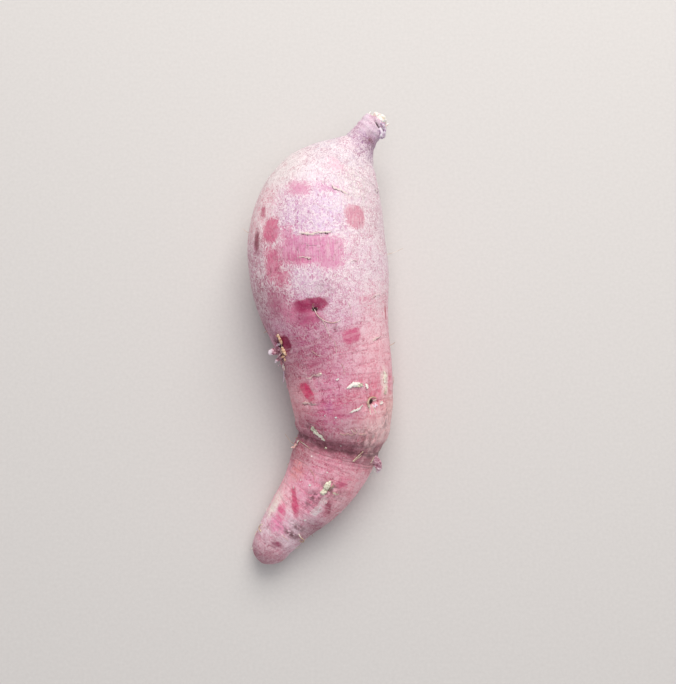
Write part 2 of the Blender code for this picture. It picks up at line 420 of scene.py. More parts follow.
def rub(across, ahead, half_round, half_long, edge, colour):
    """Adds one patch, with rather square corners, to where the bloom is rubbed off."""
    global rubbed, rubbed_colour, bare
    apart = (abs(across) / half_round) ** SQUARENESS + (abs(ahead) / half_long) ** SQUARENESS
    apart = apart ** (1 / SQUARENESS)
    inside = (1 - apart) * min(half_round, half_long)
    rubbed = np.maximum(rubbed, np.clip(inside / edge, -3, 3))
    near = np.exp(-3 * apart**2) + 1e-7
    rubbed_colour += near[:, None] * np.array(linear(colour) + [1.0])
    darkness = min(max((WORN_BRIGHTNESS - sum(linear(colour)) / 3) / WORN_SPREAD, 0), 1)
    bare = np.maximum(bare, darkness * np.clip(inside / edge + 0.5, 0, 1))


for x, y, half_round, half_long, turn, edge, colour in rubbed_patches:
    rub(*from_mark(x, y, turn), half_round, half_long, edge, colour)

# More patches on the flanks and underneath.
shuffle = random.Random(7)
for _ in range(30):
    swing_to, length_to = shuffle.uniform(1.6, 2 * math.pi - 1.6), shuffle.uniform(25, 185)
    swing = half_turn(angle_round - swing_to)
    half_round, half_long = shuffle.uniform(2, 7), shuffle.uniform(1.5, 4)
    edge = shuffle.uniform(0.5, 2.5)
    tone = shuffle.choice(("cf6a8b", "b84a70", "d98aa4", "9c3d58"))
    rub(swing * radius_at, length_along - length_to, half_round, half_long, edge, tone)

# Soil clings in the fold, in the hollows and round the tail: x, y, half sizes, strength. Along the
# fold line it is partly soil and partly painted shade.
soil = np.zeros(len(points))
for x, y, half_round, half_long, strength in (
    (-3.6, -38.0, 2.6, 2.6, 0.9),
    (0.2, -41.0, 3.0, 3.0, 0.6),
    (19, -44, 7, 5, 0.7),
    (27.6, -35.7, 3.0, 5, 0.55),
    (3.5, -63.5, 4.0, 4.0, 0.9),
    (-1.5, -66.5, 3.0, 2.0, 0.8),
    (-2.6, -67.4, 2.6, 1.6, 0.9),
    (-5.0, -69.8, 2.2, 1.6, 0.7),
    (7.5, -66.5, 3, 2, 0.7),
    (-17, -87, 6, 3, 0.25),
    (-12, -83.5, 5, 2, 0.9),
    (-9.7, -80.2, 3.6, 1.6, 0.95),
    (-22, -81, 2, 2, 0.5),
    (-2.4, -68, 3, 2, 0.6),
    (-16.5, -5, 2.5, 8, 0.8),
    (2.0, 18.7, 4, 3, 0.3),
    (6.5, 2.3, 1.6, 1.6, 0.5),
    (21, 84, 3, 3, 0.7),
    (-2.0, -16.6, 2, 0.9, 0.7),
    (-3.0, -28, 3, 0.8, 0.6),
):
    across, ahead = from_mark(x, y)
    soil = np.maximum(soil, strength * hump(np.hypot(across / half_round, ahead / half_long)))
# Along the fold line this darkening is partly soil and partly painted shade in the crease.
soil = np.maximum(soil, 0.6 * hump((fold - 1.0) / 3.0))
# Painted shade: a dark band along the fold, where the body's lower end turns away from the light.
fold_shade_reach = hump((fold - 0.9) / 5.2)
soil = np.maximum(soil, 0.35 * np.clip((abs(angle_round) - 1.9) / 0.6, 0, 1))

# Pale growth lines that run down from the stem over the right shoulder.
across, ahead = from_mark(16, 62, turn=-3)
fibrous = hump(across / 7.0) * hump((ahead - 1) / 16)
for x, y, wide, long in ((15, 49, 6, 8), (-2, 35, 15, 7)):
    across, ahead = from_mark(x, y)
    fibrous = np.maximum(fibrous, 0.3 * hump((across / wide) ** 2) * hump((ahead / long) ** 2))

# Bands of finer wrinkles run round the root from its middle to its tail, and on the stem.
banded = np.maximum(np.clip((16 - points[:, 1]) / 20, 0, 1), 0.5 * stem_share)
pitted = 1 - 0.88 * stem_share

# The dust is thick on the shoulder and thin from the middle to the tail.
dusty = 0.52 + 0.48 * np.clip((points[:, 1] + 4) / 26, 0, 1) - 0.3 * stem_share

skin_marks = {
    "straight": straight,
    "bloomed": bloomed,
    "rubbed": rubbed,
    "rubbed_colour": rubbed_colour / rubbed_colour[:, 3:],
    "bare": bare,
    "soil": soil,
    "scar": scar,
    "scar_show": scar_show,
    "fold_shade_reach": fold_shade_reach,
    "fold": fold,
    # How deep each pit, the torn hollow and the crack are, for the painted shade in them.
    "hollow": np.maximum.reduce([hollow, torn_hole * 0.8, crack * 0.6]),
    "fibrous": fibrous,
    "banded": banded,
    "pitted": pitted,
    "dusty": dusty,
    "broken": broken,
}


def add(tree, kind, sockets=(), **settings):
    """Adds a shader node. Settings are its own properties; sockets give each input by name or
    number a value, or the output that feeds it."""
    made = tree.nodes.new(kind)
    for name, value in settings.items():
        setattr(made, name, value)
    for name, value in dict(sockets).items():
        if isinstance(value, bpy.types.NodeSocket):
            tree.links.new(value, made.inputs[name])
        else:
            made.inputs[name].default_value = value
    return made


def new_material(name):
    """A material with its Principled shader, and the tree that they are in."""
    material = bpy.data.materials.new(name)
    material.use_nodes = True
    return material, material.node_tree, material.node_tree.nodes["Principled BSDF"]


def rgba(hex_colour):
    """An sRGB hex colour for a socket."""
    return (*linear(hex_colour), 1.0)


# Root skin: dry cork a few cells thick, under a dusty bloom. The eye sees a matt surface, finely
# mottled in specks of about a millimetre, with a net of pale threads and no clear highlight.
skin_finish, tree, shader = new_material("dry_periderm_under_bloom")
kept = {}
for name, values in skin_marks.items():
    store(skin_mesh, name, values)
    out = {1: "Fac", 3: "Vector", 4: "Color"}[values.size // len(points)]
    kept[name] = add(tree, "ShaderNodeAttribute", attribute_name=name).outputs[out]

# Noise over the straightened root: grains to the mm, detail, distortion, and how each is drawn out
# round the root, along it and upwards. The skin's finest grain is really about a fifth of a
# millimetre. It is drawn at about half a millimetre, so that it shows.
noises = {}
for name, per_mm, detail, bend, drawn in (
    ("clouds", 0.11, 2, 0.0, (1, 1, 1)),
    ("blotches", 0.30, 2, 0.4, (1, 0.8, 1)),
    ("ragged", 0.28, 4, 0.0, (1, 1, 1)),
    ("grain", 0.95, 2, 0.5, (1, 0.6, 1)),
    ("fine", 1.80, 2, 0.0, (1, 0.8, 1)),
    ("wool", 0.60, 1, 1.2, (1, 0.8, 1)),
    ("curls", 0.75, 0, 0.8, (1, 0.6, 1)),
    ("bands", 0.55, 2, 0.4, (0.16, 1, 0.16)),
    ("streaks", 1.80, 2, 0.3, (1, 0.09, 1)),
    ("clods", 0.60, 4, 0.0, (1, 1, 1)),
):
    scaled = add(tree, "ShaderNodeMapping", {"Vector": kept["straight"], "Scale": drawn})
    sockets = {"Vector": scaled.outputs[0], "Scale": per_mm, "Detail": detail, "Distortion": bend}
    noises[name] = add(tree, "ShaderNodeTexNoise", sockets).outputs["Fac"]

# A net of threads, drawn out along the root, and sparse specks of about 0.5 mm.
net_place = add(tree, "ShaderNodeMapping", {"Vector": kept["straight"], "Scale": (1, 0.5, 1)})
net = add(
    tree,
    "ShaderNodeTexVoronoi",
    {"Vector": net_place.outputs[0], "Scale": 0.85},
    feature="DISTANCE_TO_EDGE",
).outputs["Distance"]
specks = add(tree, "ShaderNodeTexVoronoi", {"Vector": kept["straight"], "Scale": 0.22})
speck_kind = add(tree, "ShaderNodeSeparateXYZ", {0: specks.outputs["Color"]}).outputs

# Arithmetic that the covers need: how far each point is from a line, with a ragged edge.
scar_parts = add(tree, "ShaderNodeSeparateXYZ", {0: kept["scar"]}).outputs
sums = {}
for name, operation, first, second, third in (
    ("edge_warp", "MULTIPLY_ADD", noises["ragged"], 2.2, -1.1),
    ("edge_grain", "MULTIPLY_ADD", noises["grain"], 1.6, -0.8),
    ("edge", "ADD", kept["rubbed"], "edge_warp", 0),
    ("rubbed_edge", "ADD", "edge", "edge_grain", 0),
    ("wool_off", "SUBTRACT", noises["wool"], 0.5, 0),
    ("wool_gap", "ABSOLUTE", "wool_off", 0, 0),
    ("curl_off", "SUBTRACT", noises["curls"], 0.52, 0),
    ("curl_gap", "ABSOLUTE", "curl_off", 0, 0),
    ("scar_share", "DIVIDE", scar_parts[0], scar_parts[2], 0),
    ("scar_end", "ABSOLUTE", "scar_share", 0, 0),
    ("scar_warp", "MULTIPLY_ADD", noises["ragged"], 3.6, -1.8),
    ("scar_bend", "ADD", scar_parts[1], "scar_warp", 0),
    ("scar_grain", "MULTIPLY_ADD", noises["grain"], 1.2, -0.6),
    ("scar_line", "ADD", "scar_bend", "scar_grain", 0),
    ("lip_gap", "ABSOLUTE", "scar_line", 0, 0),
    ("under_line", "ADD", "scar_line", 0.62, 0),
    ("under_gap", "ABSOLUTE", "under_line", 0, 0),
    ("fold_warp", "MULTIPLY_ADD", noises["ragged"], 2.4, -1.2),
    ("fold_line", "ADD", kept["fold"], "fold_warp", 0),
    ("fold_gap", "ABSOLUTE", "fold_line", 0, 0),
    ("second_line", "ADD", "fold_line", 3.6, 0),
    ("second_gap", "ABSOLUTE", "second_line", 0, 0),
    ("pit_shade_edge", "MULTIPLY_ADD", noises["fine"], 0.4, kept["hollow"]),
):
    first, second, third = (sums[v] if isinstance(v, str) else v for v in (first, second, third))
    sockets = {0: first, 1: second, 2: third}
    sums[name] = add(tree, "ShaderNodeMath", sockets, operation=operation).outputs[0]

# How much each layer covers: its value goes from one level to another, up to its strength.
cover = {}
for name, value, low, high, strength in (
    ("thin", noises["clouds"], 0.46, 0.66, 0.45),
    ("dim", noises["blotches"], 0.48, 0.34, 0.42),
    ("thick", noises["blotches"], 0.52, 0.70, 0.60),
    ("ringed", noises["bands"], 0.50, 0.64, 0.60),
    ("rubbed", sums["rubbed_edge"], -0.7, 0.7, 0.90),
    ("mottled", noises["blotches"], 0.50, 0.36, 0.32),
    ("clouded", noises["ragged"], 0.52, 0.68, 0.34),
    ("ring_gaps", noises["bands"], 0.47, 0.34, 0.40),
    # Painted shade along the fold band.
    ("painted_fold_shade", noises["ragged"], 0.24, 0.64, 0.85),
    ("pored", noises["grain"], 0.45, 0.30, 0.66),
    ("dotted", noises["fine"], 0.45, 0.31, 0.60),
    ("netted", net, 0.20, 0.04, 0.55),
    ("woolly", sums["wool_gap"], 0.065, 0.02, 0.92),
    ("curly", sums["curl_gap"], 0.060, 0.012, 0.65),
    ("dusted", noises["fine"], 0.55, 0.68, 0.80),
    ("dark_speck", specks.outputs["Distance"], 0.10, 0.05, 0.75),
    ("is_dark", speck_kind[0], 0.86, 0.88, 1.0),
    ("pale_speck", specks.outputs["Distance"], 0.10, 0.04, 0.8),
    ("is_pale", speck_kind[1], 0.80, 0.82, 1.0),
    ("streaked", noises["streaks"], 0.50, 0.58, 0.72),
    ("lip", sums["lip_gap"], 0.42, 0.15, 0.9),
    # Painted shade in the groove under a scar's lip.
    ("shade_under_lip", sums["under_gap"], 0.32, 0.10, 0.8),
    ("scar_reach", sums["scar_end"], 1.0, 0.70, 1.0),
    ("gaps", noises["clods"], 0.50, 0.58, 1.0),
    ("clodded", noises["clods"], 0.34, 0.62, 1.0),
    # Painted shade in the fold's creases.
    ("crease_shade", sums["fold_gap"], 1.2, 0.15, 0.35),
    ("second_crease_shade", sums["second_gap"], 0.45, 0.1, 0.45),
    # Painted shade in the pits, the torn hollow and the crack.
    ("pit_shade", sums["pit_shade_edge"], 0.45, 0.75, 0.92),
    ("unworn", sums["rubbed_edge"], 1.6, -0.2, 0.65),
):
    sockets = {"Value": value, 1: low, 2: high, 3: 0.0, 4: strength}
    level = add(tree, "ShaderNodeMapRange", sockets, interpolation_type="SMOOTHSTEP")
    cover[name] = level.outputs[0]

# Some layers show only as far as another allows them: what allows it, its share, what shows without
# it, and the layers.
for by, share, least, names in (
    (kept["banded"], 1.0, 0.0, ("ringed", "ring_gaps")),
    (kept["pitted"], 1.0, 0.0, ("dim", "pored", "dotted")),
    (kept["fold_shade_reach"], 1.0, 0.0, ("painted_fold_shade",)),
    (kept["dusty"], 1.0, 0.0, ("netted", "woolly", "curly", "dusted")),
    (kept["bare"], -0.9, 1.0, ("clouded", "netted", "woolly", "curly", "dusted")),
    (cover["thick"], 1.2, 0.45, ("netted",)),
    (cover["unworn"], 1.3, 0.05, ("netted",)),
    (cover["unworn"], 1.2, 0.16, ("woolly", "curly")),
    (cover["unworn"], 1.3, 0.08, ("dusted",)),
    (cover["is_dark"], 1.0, 0.0, ("dark_speck",)),
    (cover["is_pale"], 1.0, 0.0, ("pale_speck",)),
    (kept["fibrous"], 1.0, 0.0, ("streaked",)),
    (cover["scar_reach"], 1.0, 0.0, ("lip", "shade_under_lip")),
    (kept["scar_show"], 1.0, 0.0, ("lip", "shade_under_lip")),
    (cover["gaps"], 1.0, 0.15, ("shade_under_lip",)),
    (kept["soil"], 1.0, 0.0, ("clodded",)),
):
    allowed = add(tree, "ShaderNodeMath", {0: by, 1: share, 2: least}, operation="MULTIPLY_ADD")
    for name in names:
        sockets = {0: cover[name], 1: allowed.outputs[0]}
        cover[name] = add(tree, "ShaderNodeMath", sockets, operation="MULTIPLY").outputs[0]

# The bloom's colour at each spot, lighter where it is thick, and the stained cork under it.
tones = {}
dusting = add(tree, "ShaderNodeMath", {0: kept["dusty"], 1: 0.82}, operation="MULTIPLY").outputs[0]
for name, share, first, second, blend_type in (
    ("paler", dusting, kept["bloomed"], "fff2f4", "MIX"),
    ("pale", 0.40, kept["bloomed"], "ffe6ec", "MIX"),
    ("stained", 0.55, kept["bloomed"], "d4477c", "MULTIPLY"),
    ("pore", 0.75, kept["bloomed"], "b23a68", "MULTIPLY"),
    ("soil", noises["fine"], rgba("502c34"), "8c5a60", "MIX"),
    ("flesh", noises["grain"], rgba("c9a593"), "fff8f2", "MIX"),
):
    mixed = add(
        tree,
        "ShaderNodeMix",
        {0: share, 6: first, 7: rgba(second)},
        data_type="RGBA",
        blend_type=blend_type,
    )
    tones[name] = mixed.outputs[2]

# The layers, from the stained cork outwards. The fold band, its creases, the pits and the grooves
# under the lips are painted shade.
cover["broken"] = kept["broken"]
layer = kept["bloomed"]
for name, tone in (
    ("thin", tones["stained"]),
    ("dim", tones["stained"]),
    ("thick", tones["pale"]),
    ("ringed", tones["stained"]),
    ("rubbed", kept["rubbed_colour"]),
    ("mottled", tones["stained"]),
    ("clouded", tones["pale"]),
    ("ring_gaps", tones["pale"]),
    ("pored", tones["pore"]),
    ("dotted", tones["stained"]),
    ("netted", tones["paler"]),
    ("woolly", tones["paler"]),
    ("curly", tones["paler"]),
    ("dusted", tones["paler"]),
    # Painted shade along the fold band.
    ("painted_fold_shade", rgba("9a5a6c")),
    ("streaked", rgba("fbf2ee")),
    ("dark_speck", rgba("5a3038")),
    ("pale_speck", rgba("fffaf4")),
    ("lip", rgba("f8eadc")),
    # Painted shade in the groove under a scar's lip.
    ("shade_under_lip", rgba("54302f")),
    ("clodded", tones["soil"]),
    # Painted shade in the fold's creases.
    ("crease_shade", rgba("56343a")),
    ("second_crease_shade", rgba("6a444a")),
    # Painted shade in the pits, the torn hollow and the crack.
    ("pit_shade", rgba("33191d")),
    ("broken", tones["flesh"]),
):
    sockets = {0: cover[name], 6: layer, 7: tone}
    layer = add(tree, "ShaderNodeMix", sockets, data_type="RGBA").outputs[2]
tree.links.new(layer, shader.inputs["Base Color"])

# Rubbed cork is a little smoother than the dust, and clods of soil are rougher.
roughness = 0.78
for name, change in (("rubbed", -0.12), ("clodded", 0.2)):
    sockets = {0: cover[name], 1: change, 2: roughness}
    roughness = add(tree, "ShaderNodeMath", sockets, operation="MULTIPLY_ADD").outputs[0]
tree.links.new(roughness, shader.inputs["Roughness"])
relief = 0.0
for value, height in (
    (noises["grain"], 0.55),
    (noises["fine"], 0.40),
    (cover["netted"], 0.35),
    (cover["woolly"], 0.30),
    (cover["streaked"], 0.60),
    (cover["clodded"], 0.90),
    (cover["lip"], 0.60),
    (cover["ringed"], -0.60),
    (cover["shade_under_lip"], -0.80),
):
    sockets = {0: value, 1: height, 2: relief}
    relief = add(tree, "ShaderNodeMath", sockets, operation="MULTIPLY_ADD").outputs[0]
bump = add(tree, "ShaderNodeBump", {"Strength": 0.9, "Distance": 0.28 * MM, "Height": relief})
tree.links.new(bump.outputs["Normal"], shader.inputs["Normal"])
for name, value in (
    ("IOR", 1.45),
    ("Specular IOR Level", 0.3),
    ("Sheen Weight", 0.12),
    ("Sheen Roughness", 0.32),
):
    shader.inputs[name].default_value = value
skin_mesh.materials.clear()
skin_mesh.materials.append(skin_finish)


# ==== The torn end of the stem ====================================================================
# Pale flesh left where the root was pulled off its vine: a swollen white mass on the far side of
# the end, thick torn shreds beside it, and short fibres that have curled as they dried.

PIECE_GAP = 0.05  # mm that a small piece stays above the table
SHRED_THICK = 0.9
STAINED_SHRED_THICK = 0.95
END_SIDE = Vector((0.8, -0.6, 0.0))  # across the stem's end, towards the right
END_UP = Vector((0, 0, 1))
END_WAY = Vector(STEM_WAY)


def as_piece(name, mesh, finish):
    """Makes a mesh, whose place is already in it, a piece of the root."""
    mesh.materials.clear()
    mesh.materials.append(finish)
    mesh.shade_smooth()
    for vert in mesh.vertices:
        vert.co.z = max(vert.co.z, PIECE_GAP * MM)
    piece = new_object(name, mesh)
    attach(piece, "root")
    return piece


def tubes(name, routes, thick, finish, sides=2):
    """Round tapered strands, closed at both ends. Each route has its places in mm, its thickness
    beside the others, and how thin its tip is."""
    curve = bpy.data.curves.new(name, "CURVE")
    curve.dimensions = "3D"
    curve.bevel_depth = thick / 2 * MM
    curve.bevel_resolution = sides
    curve.resolution_u = 5
    curve.use_fill_caps = True
    for places, size, tip in routes:
        spline = curve.splines.new("NURBS")
        spline.points.add(len(places) - 1)
        for i, (point, place) in enumerate(zip(spline.points, places)):
            point.co = (*(Vector(place) * MM), 1)
            point.radius = size * (1 + (tip - 1) * i / (len(places) - 1))
        spline.order_u = 3
        spline.use_endpoint_u = True
    return as_piece(name, baked(new_object(name, curve), name), finish)


def lump(name, centre, ways, radii, rough, seed, finish, fineness=5):
    """A solid uneven lump: its middle in mm, and three ways with its radius in each."""
    bm = bmesh.new()
    bmesh.ops.create_icosphere(bm, subdivisions=fineness, radius=1)
    for vert in bm.verts:
        way = vert.co.copy()
        swell = 1 + rough * (
            0.6 * noise.noise(way * 1.3 + Vector((seed, 0, 0)))
            + 0.35 * noise.noise(way * 3.1 + Vector((0, seed, 0)))
            + 0.2 * noise.noise(way * 7.0 + Vector((0, 0, seed)))
        )
        place = Vector(centre)
        for direction, radius, share in zip(ways, radii, way):
            place += Vector(direction) * radius * share * swell
        vert.co = place * MM
    bmesh.ops.recalc_face_normals(bm, faces=bm.faces)
    return as_piece(name, to_mesh(bm, name), finish)


def mottled(name, grains, base, rows, roughness, bump=None, fade="SMOOTHSTEP"):
    """A matt finish, mottled by noise. Each grain has how many there are to the metre, and its
    detail. Each row lays a colour over the base: which grain places it, the levels that it comes in
    between, its strength and the colour. Bump is the strength and depth in mm of the first grain.
    With no base, the piece's own tint is the base."""
    material, tree, shader = new_material(name)
    where = add(tree, "ShaderNodeTexCoord").outputs["Object"]
    grain_values = []
    for per_metre, detail in grains:
        sockets = {"Vector": where, "Scale": per_metre, "Detail": detail}
        grain_values.append(add(tree, "ShaderNodeTexNoise", sockets).outputs["Fac"])
    if base:
        layer = rgba(base)
    else:
        layer = add(tree, "ShaderNodeAttribute", attribute_name="tint").outputs["Color"]
    for grain, low, high, strength, tone in rows:
        sockets = {"Value": grain_values[grain], 1: low, 2: high, 3: 0.0, 4: strength}
        covering = add(tree, "ShaderNodeMapRange", sockets, interpolation_type=fade).outputs[0]
        sockets = {0: covering, 6: layer, 7: rgba(tone)}
        layer = add(tree, "ShaderNodeMix", sockets, data_type="RGBA").outputs[2]
    tree.links.new(layer, shader.inputs["Base Color"])
    shader.inputs["Roughness"].default_value = roughness
    if bump:
        strength, depth = bump
        sockets = {"Strength": strength, "Distance": depth * MM, "Height": grain_values[0]}
        relief = add(tree, "ShaderNodeBump", sockets)
        tree.links.new(relief.outputs["Normal"], shader.inputs["Normal"])
    return material, tree, shader, layer, grain_values[0]


# Torn flesh: starch and fibre, dried matt and cream-white, with brown in its pits.
flesh_finish, _, shader, _, _ = mottled(
    "torn_dried_flesh",
    ((900, 3), (320, 1)),
    "f7f1ea",
    (
        (1, 0.56, 0.72, 0.75, "c9a0ae"),
        (1, 0.42, 0.30, 0.60, "d8c3a4"),
        (0, 0.42, 0.30, 0.80, "7d5a55"),
        (0, 0.55, 0.66, 0.60, "ffffff"),
    ),
    roughness=0.7,
    bump=(0.7, 0.25),
)
shader.inputs["IOR"].default_value = 1.45
shader.inputs["Subsurface Weight"].default_value = 0.15
shader.inputs["Subsurface Scale"].default_value = 1.0 * MM


def at_end(side, up, ahead):
    """A place by the middle of the stem's end: mm to its right, up, and out along the stem."""
    return Vector(STEM_END) + END_SIDE * side + END_UP * up + END_WAY * ahead


end_ways = (END_SIDE, END_UP, END_WAY)
for name, side, up, ahead, radii, rough, seed in (
    ("torn_flesh_mass", 0.9, 1.4, 0.2, (3.5, 3.4, 2.6), 0.28, 3.0),
    ("torn_flesh_low", 0.8, -2.2, -0.1, (3.2, 2.4, 1.6), 0.9, 8.0),
    ("torn_flesh_left", -2.4, -1.0, -0.3, (1.5, 2.6, 1.2), 0.7, 5.0),
):
    lump(name, at_end(side, up, ahead), end_ways, radii, rough, seed, flesh_finish)

shreds = random.Random(21)
routes = []
for side, up, reach, droop in (
    (4.6, 0.4, 2.0, -3.4),
    (4.0, -1.4, 1.6, -2.2),
    (2.6, -3.4, 1.4, -1.6),
    (-3.8, 2.6, 0.8, -0.4),
    (-3.4, -1.8, 1.2, -1.4),
    (0.4, -4.2, 1.2, -1.0),
    (-1.6, -3.8, 1.6, -1.4),
    (1.8, -2.0, 2.4, -1.6),
):
    start = at_end(side, up, -0.8)
    swirl = Vector([shreds.uniform(-0.6, 0.6) for _ in range(3)])
    out = at_end(side * 1.05, up + 0.3, reach * 0.5)
    bend = at_end(side * 1.12 + shreds.uniform(0, 0.6), up + 0.4 * droop, reach) + swirl
    end_side = side * 1.10 + shreds.uniform(-0.4, 0.8)
    end = at_end(end_side, up + droop, reach * shreds.uniform(0.5, 1.0)) + swirl
    routes.append(([start, out, bend, end], shreds.uniform(0.7, 1.2), 0.45))
tubes("torn_stem_shreds", routes, SHRED_THICK, flesh_finish)

# Stained shreds hang off the right of the end, towards the body: the same flesh, dried matt, its
# cream stained lilac by the skin's sap.
stained_finish, *_ = mottled(
    "stained_dried_shreds",
    ((700, 2),),
    "b79ab8",
    ((0, 0.38, 0.60, 1.0, "fbf2fa"),),
    roughness=0.7,
    bump=(0.6, 0.15),
    fade="LINEAR",
)
routes = []
for start, bend, end, size in (
    ((26.8, 93.2, 33.4), (27.5, 92.0, 34.4), (27.2, 90.2, 34.2), 1.4),
    ((27.0, 92.2, 32.4), (28.0, 90.4, 33.0), (27.8, 88.2, 32.6), 1.4),
    ((27.0, 91.2, 31.0), (28.2, 90.0, 30.6), (28.2, 87.8, 29.4), 1.1),
    ((25.8, 90.0, 34.4), (26.6, 88.0, 34.9), (25.9, 86.0, 33.8), 1.6),
    ((26.3, 90.0, 33.2), (27.3, 87.8, 33.4), (27.0, 86.4, 32.4), 1.3),
    ((27.0, 91.0, 29.4), (28.4, 89.8, 28.6), (28.2, 88.2, 27.2), 0.9),
    ((25.6, 92.0, 35.4), (26.9, 91.2, 36.2), (27.5, 89.8, 35.6), 1.0),
):
    curled = Vector(end) + Vector((-0.5, -0.2, -0.5))
    routes.append(([start, bend, end, curled], size, 0.6))
tubes("stained_stem_shreds", routes, STAINED_SHRED_THICK, stained_finish)


# ==== Hair roots ==================================================================================
# Fine side roots that dried on after lifting: round, tapered and under half a millimetre thick,
# with one thicker hook. Each springs from an eye or a pore, and lies on the skin or stands off it.

HAIR_THICK = 0.34
HOOK_THICK = 1.05


def on_skin(x, y, lift=0.0):
    """A place over x, y in plan, this many mm off the skin."""
    place, normal = skin_under(x, y)
    return place + normal * lift


def off_skin(length, swing, lift=0.0):
    """A place on the flanks or underneath: mm from the tail's end, and degrees round from the
    crest to the right, this many mm off the skin."""
    turned = half_turn(angle_round - math.radians(swing))
    spot = int(np.argmin((length_along - length) ** 2 + (turned * radius_at) ** 2))
    place, normal, _, _ = skin_tree.find_nearest(Vector(points[spot]))
    return place + normal * lift


# Dried root hair: thin bark over wood fibre, which gives a dull straw colour with paler lengths.
hair_finish, _, shader, _, _ = mottled(
    "dried_hair_root",
    ((260, 2),),
    "c4a58c",
    ((0, 0.40, 0.62, 1.0, "f6ece0"),),
    roughness=0.65,
    fade="LINEAR",
)
shader.inputs["IOR"].default_value = 1.5

# Laid hairs: x, y in plan and mm off the skin for each bend, then thickness and tip.
routes = []
for marks, size, tip in (
    (
        (
            (-1.9, 9.8, -0.5), (-1.7, 9.2, 0.8), (-0.8, 7.6, 0.4), (1.6, 5.4, 0.25),
            (4.9, 4.2, 0.2), (7.2, 4.5, 0.2), (8.8, 5.6, 0.2),
        ),
        1.0,
        0.6,
    ),
    (((1.4, 5.5, 0.2), (2.8, 3.2, 0.3), (3.8, 0.4, 0.3), (4.9, -2.6, 0.2)), 0.6, 0.5),
    (((-2.0, 9.9, -0.4), (-2.7, 11.2, 0.5), (-2.3, 12.2, 0.2)), 0.8, 0.5),
    (((-8.9, -43.3, 0.2), (-7.2, -44.6, 0.5), (-5.4, -45.6, 0.4), (-4.2, -47.0, 0.2)), 1.0, 0.5),
    (
        (
            (8.6, -40.4, 0.2), (10.2, -41.4, 0.5), (11.8, -40.2, 0.4), (13.2, -41.6, 0.4),
            (14.8, -40.6, 0.2),
        ),
        0.7,
        0.6,
    ),
    (
        (
            (13.0, -38.6, 0.2), (14.0, -40.2, 0.5), (15.4, -40.4, 0.5), (15.6, -38.8, 0.3),
            (14.4, -38.2, 0.2),
        ),
        0.7,
        0.6,
    ),
    (((16.2, -40.6, 0.2), (17.8, -41.4, 0.5), (19.0, -40.2, 0.3)), 0.7, 0.5),
    (
        (
            (-9.0, -83.3, 0.3), (-8.6, -84.6, 0.8), (-7.6, -84.9, 1.2), (-7.3, -86.0, 1.0),
            (-8.0, -86.9, 0.6), (-8.9, -86.2, 0.4),
        ),
        1.8,
        0.7,
    ),
    (((12.0, 12.6, 0.1), (13.4, 9.8, 0.3), (13.2, 7.0, 0.2)), 0.5, 0.5),
    (((6.2, -3.0, 0.1), (7.4, -6.0, 0.3), (7.0, -8.6, 0.2)), 0.5, 0.5),
    (((-3.0, -6.6, 0.1), (-1.4, -8.4, 0.3), (0.6, -9.0, 0.2)), 0.5, 0.5),
    (((9.0, -12.0, 0.1), (10.6, -14.2, 0.3), (10.2, -16.6, 0.2)), 0.5, 0.5),
    (((-4.0, -55.6, 0.1), (-2.2, -57.4, 0.3), (-1.8, -60.0, 0.2)), 0.6, 0.5),
    (((-16.4, -83.6, 0.1), (-14.6, -84.8, 0.4), (-13.4, -86.6, 0.2)), 0.6, 0.5),
):
    routes.append(([on_skin(*mark) for mark in marks], size, tip))
tubes("hair_roots_laid", routes, HAIR_THICK, hair_finish)

# The hook: a stub that bends round the rim of its own pit on the right, torn at the tip.
rim_left, rim_right = on_skin(18.8, -27.4), on_skin(25.0, -27.4)
hook = []
for x, y, lift in (
    (20.6, -29.6, -0.2),
    (20.2, -28.6, 0.7),
    (20.2, -27.4, 1.0),
    (20.7, -26.2, 1.1),
    (21.9, -25.5, 1.1),
    (23.2, -25.6, 0.7),
    (24.2, -26.0, 0.1),
):
    level = rim_left.lerp(rim_right, (x - rim_left.x) / (rim_right.x - rim_left.x))
    hook.append(Vector((x, y, level.z + lift)))
routes = [(hook, 1.0, 0.45)]
for marks in (
    ((21.9, -28.4, 0.0), (22.4, -30.2, 0.4), (23.6, -32.4, 0.1)),
    ((20.9, -28.8, 0.0), (20.8, -30.6, 0.4), (21.2, -32.8, 0.1)),
):
    routes.append(([on_skin(*mark) for mark in marks], 0.5, 0.5))
tubes("hooked_root_stub", routes, HOOK_THICK, hair_finish, sides=3)

# Bristles stand off the flanks and the underside: mm from the tail's end, degrees round, mm long.
strands = random.Random(5)
routes = []
bristle_roots = [
    (13.5, -74, 2.6),
    (6.4, -80, 3.0),
    (8.0, 70, 2.2),
    (22.0, 78, 1.8),
    (36.0, 84, 2.0),
    (62.0, -82, 2.2),
]
for _ in range(34):
    length, swing = strands.uniform(14, 168), strands.uniform(80, 280)
    bristle_roots.append((length, swing, strands.uniform(1.6, 6.0)))
for length, swing, long in bristle_roots:
    base = off_skin(length, swing, -0.2)
    way = (off_skin(length, swing, 1.0) - off_skin(length, swing)).normalized()
    along = Vector((strands.uniform(-1, 1), strands.uniform(-1, 1), strands.uniform(-0.4, 0.8)))
    along.normalize()
    places = [base]
    for step in (0.3, 0.65, 1.0):
        place = base + (way * (0.8 - 0.5 * step) + along * step) * long * step
        place.z = max(place.z, 0.3)
        places.append(place)
    routes.append((places, strands.uniform(0.7, 1.3), 0.4))
tubes("hair_roots_standing", routes, HAIR_THICK, hair_finish, sides=1)


# ==== Root stubs ==================================================================================
# Side roots broken off short, as thick as a match, of the same flesh and skin as the root: a nub at
# the fold's right end, one under the stem, and what is left of the root torn from the left flank.

